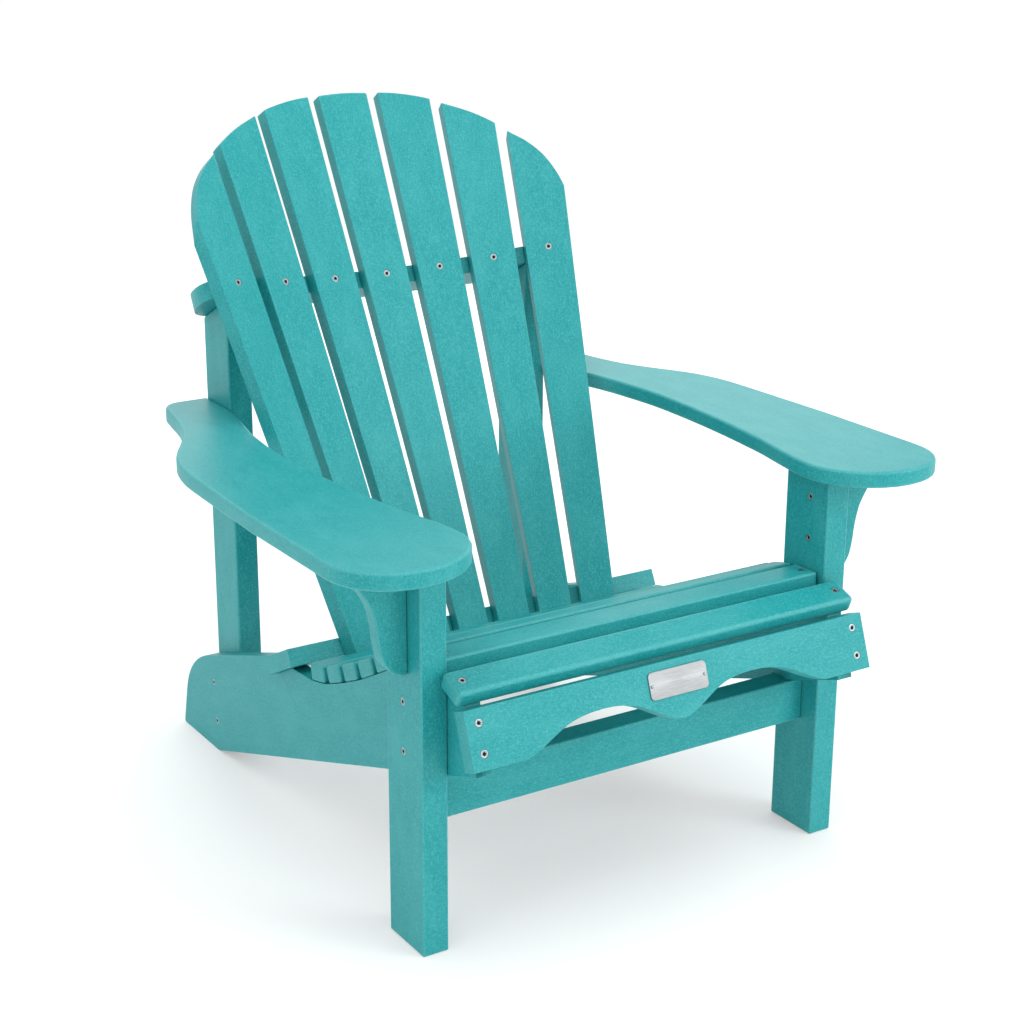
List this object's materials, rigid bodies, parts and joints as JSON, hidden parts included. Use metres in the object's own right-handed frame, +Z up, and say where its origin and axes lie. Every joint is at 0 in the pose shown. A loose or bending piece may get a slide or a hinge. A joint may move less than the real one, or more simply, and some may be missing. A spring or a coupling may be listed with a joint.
{
  "type": "adirondack chair",
  "caption": "Slatted garden armchair with a tall fanned, reclined back, broad flat arms on flared brackets, a rolled-down contoured seat and long rear skid legs.",
  "frame": {"origin": "centre of the bounding box, on the ground plane under the feet", "axes": "+Z up; the chair faces -Y, so +Y runs from the apron to the back; +X to the right when looking at the front of the chair"},
  "size_m": [0.934, 0.9301, 0.9919],
  "materials": {
    "poly_lumber": "extruded recycled plastic board, solid teal through, satin with a fine fibrous grain",
    "screws": "bright stainless flat-head screws with recessed drives",
    "plate": "brushed stainless plate with domed rivets, blank"
  },
  "bodies": {
    "root": {"apron": "poly_lumber", "apron_screw_lower_left": "screws", "apron_screw_lower_right": "screws", "apron_screw_upper_left": "screws", "apron_screw_upper_right": "screws", "arm_bracket_left": "poly_lumber", "arm_bracket_right": "poly_lumber", "arm_left": "poly_lumber", "arm_right": "poly_lumber", "back_screw_1": "screws", "back_screw_2": "screws", "back_screw_3": "screws", "back_screw_4": "screws", "back_screw_5": "screws", "back_screw_6": "screws", "back_screw_7": "screws", "back_slat_1": "poly_lumber", "back_slat_2": "poly_lumber", "back_slat_3": "poly_lumber", "back_slat_4": "poly_lumber", "back_slat_5": "poly_lumber", "back_slat_6": "poly_lumber", "back_slat_7": "poly_lumber", "bracket_screw_lower_left": "screws", "bracket_screw_lower_right": "screws", "bracket_screw_upper_left": "screws", "bracket_screw_upper_right": "screws", "front_leg_left": "poly_lumber", "front_leg_right": "poly_lumber", "front_stretcher": "poly_lumber", "leg_screw_lower_left": "screws", "leg_screw_lower_right": "screws", "leg_screw_upper_left": "screws", "leg_screw_upper_right": "screws", "lower_back_rail": "poly_lumber", "nameplate": "plate", "nosing_screw_left": "screws", "nosing_screw_right": "screws", "nosing_slat": "poly_lumber", "post_screw_lower_left": "screws", "post_screw_lower_right": "screws", "post_screw_upper_left": "screws", "post_screw_upper_right": "screws", "rear_post_left": "poly_lumber", "rear_post_right": "poly_lumber", "rivet_left": "plate", "rivet_right": "plate", "seat_screw_left": "screws", "seat_screw_right": "screws", "seat_slat_1": "poly_lumber", "seat_slat_2": "poly_lumber", "seat_slat_3": "poly_lumber", "seat_slat_4": "poly_lumber", "seat_slat_5": "poly_lumber", "seat_slat_6": "poly_lumber", "seat_slat_7": "poly_lumber", "seat_slat_8": "poly_lumber", "stringer_left": "poly_lumber", "stringer_right": "poly_lumber", "upper_back_rail": "poly_lumber"}
  },
  "joints": []
}
